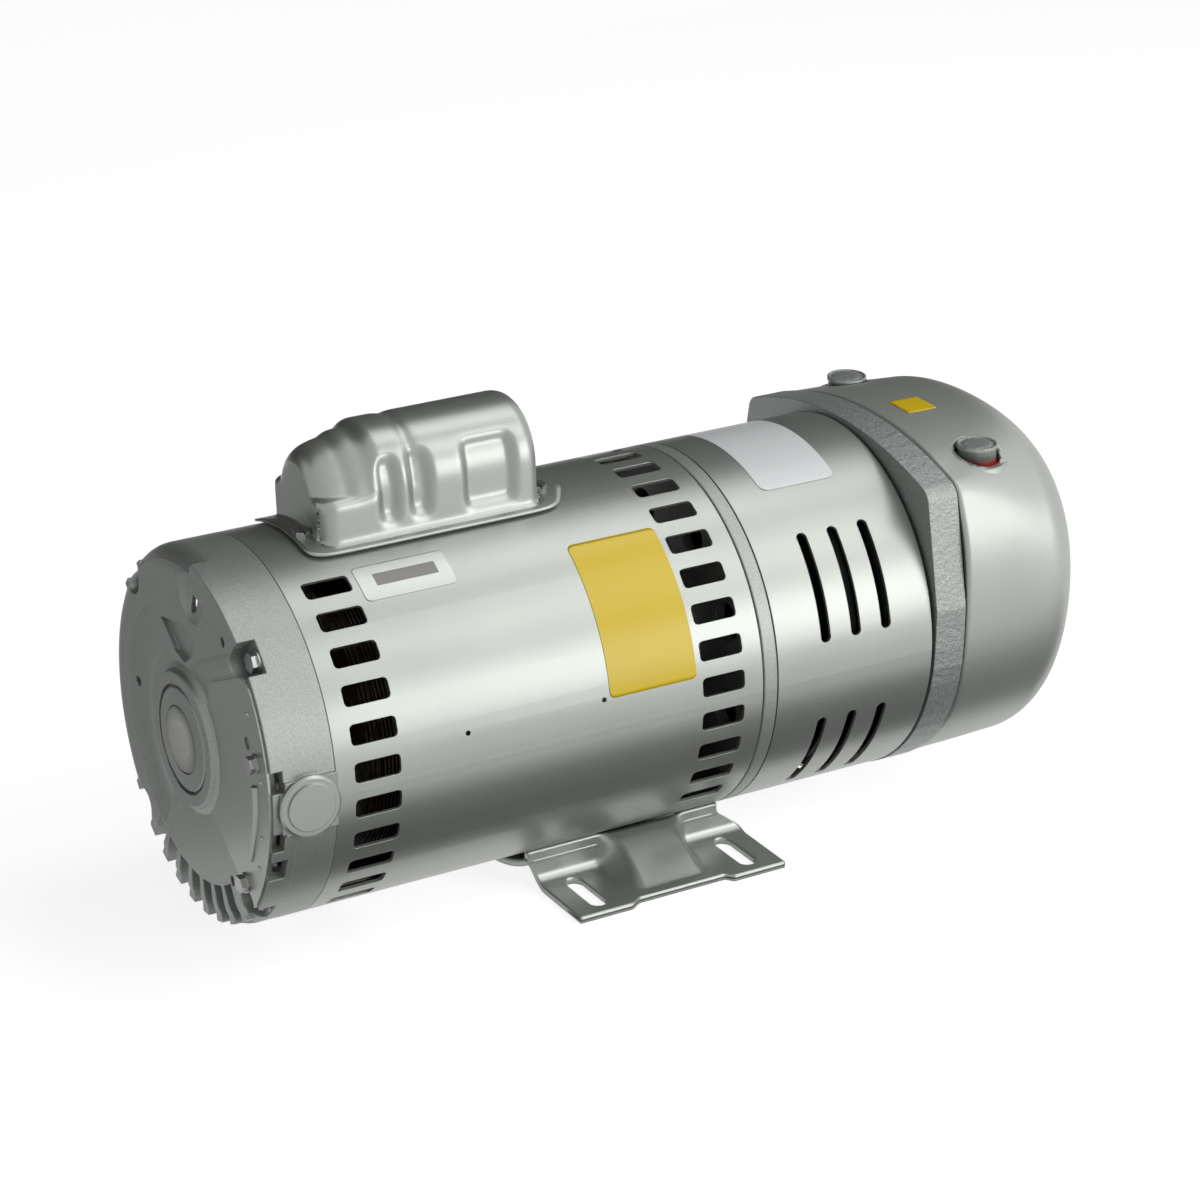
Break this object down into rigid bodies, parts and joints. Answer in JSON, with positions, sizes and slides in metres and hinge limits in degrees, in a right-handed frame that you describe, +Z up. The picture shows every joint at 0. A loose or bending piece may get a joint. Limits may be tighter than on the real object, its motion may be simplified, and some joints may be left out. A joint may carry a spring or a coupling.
{
  "type": "rotary vane air pump",
  "caption": "Motor-driven rotary vane air pump: vented round motor on a slotted foot, top capacitor cover, and a finned vane pump under a shroud with a rounded end cover and two top ports.",
  "frame": {"origin": "centre of the foot's slot pattern, on the mounting plane", "axes": "+Y along the shaft towards the pump, +Z up, +X towards the conduit plug"},
  "size_m": [0.1687, 0.4163, 0.2127],
  "materials": {
    "cast_paint": "satin grey paint on a casting",
    "sheet_paint": "satin grey paint on sheet steel",
    "cast_dark": "bare cast iron",
    "steel": "plated steel",
    "bright": "ground steel",
    "laminations": "stacked sheet steel",
    "rotor_bars": "die cast",
    "copper": "varnished copper wire",
    "black_plastic": "moulded",
    "brown_board": "pressed board",
    "pale_plastic": "moulded",
    "carbon": "carbon graphite",
    "rubber": "matt",
    "felt": "pressed felt",
    "label": "blank film"
  },
  "bodies": {
    "housing": {"end_bell": "cast_paint", "hub_cap": "pale_plastic", "terminal_cover": "sheet_paint", "terminal_cover_screws": "steel", "terminal_board": "brown_board", "motor_shell": "sheet_paint", "through_bolts": "steel", "stator_core": "laminations", "stator_windings": "copper", "rear_bearing_outer": "bright", "rear_bearing_balls": "bright", "wave_washer": "steel", "switch_board": "brown_board", "capacitor_cover": "sheet_paint", "capacitor_cover_screws": "steel", "start_capacitor": "black_plastic", "foot": "sheet_paint", "drive_bracket": "cast_paint", "front_bearing_outer": "bright", "front_bearing_balls": "bright", "pump_shroud": "sheet_paint", "near_end_plate": "cast_dark", "near_plate_screws": "steel", "pump_body": "cast_dark", "body_bolts": "steel", "body_seal_ring": "rubber", "dead_end_plate": "cast_paint", "cover_gasket": "rubber", "end_cover": "sheet_paint", "cover_bolts": "steel", "intake_felt": "felt", "exhaust_felt": "felt", "labels": "label"},
    "rotating": {"shaft": "bright", "rear_bearing_inner": "bright", "front_bearing_inner": "bright", "rotor_core": "laminations", "rotor_end_rings": "rotor_bars", "switch_governor": "steel", "pump_fan": "black_plastic", "pump_rotor": "cast_dark", "rotor_key": "steel", "rotor_screw": "steel"},
    "switch_collar": {"switch_collar": "black_plastic"},
    "inlet_plug": {"inlet_plug": "cast_paint"},
    "exhaust_plug": {"exhaust_plug": "cast_paint"},
    "conduit_plug": {"conduit_plug": "sheet_paint"},
    "vane_1": {"vane_1": "carbon"},
    "vane_2": {"vane_2": "carbon"},
    "vane_3": {"vane_3": "carbon"},
    "vane_4": {"vane_4": "carbon"}
  },
  "joints": [
    {"name": "shaft_spin", "type": "hinge", "parent": "housing", "child": "rotating", "pos_m": [0, 0, 0.0889], "axis": [0, 1, 0], "continuous": true},
    {"name": "vane_1_slide", "type": "slide", "parent": "rotating", "child": "vane_1", "axis": [-1, 0, 0], "range_m": [0, 0.0027]},
    {"name": "vane_2_slide", "type": "slide", "parent": "rotating", "child": "vane_2", "axis": [0, 0, -1], "range_m": [0, 0.0027]},
    {"name": "vane_3_slide", "type": "slide", "parent": "rotating", "child": "vane_3", "axis": [1, 0, 0], "range_m": [0, 0.0027]},
    {"name": "vane_4_slide", "type": "slide", "parent": "rotating", "child": "vane_4", "axis": [0, 0, 1], "range_m": [0, 0.0027]},
    {"name": "switch_collar_slide", "type": "slide", "parent": "rotating", "child": "switch_collar", "axis": [0, 1, 0], "range_m": [0, 0.003], "stiffness_N_per_m": 300},
    {"name": "inlet_plug_pull", "type": "slide", "parent": "housing", "child": "inlet_plug", "axis": [0, 0, 1], "range_m": [0, 0.06]},
    {"name": "exhaust_plug_pull", "type": "slide", "parent": "housing", "child": "exhaust_plug", "axis": [0, 0, 1], "range_m": [0, 0.06]},
    {"name": "conduit_plug_pull", "type": "slide", "parent": "housing", "child": "conduit_plug", "axis": [1, 0, 0], "range_m": [0, 0.04]}
  ]
}
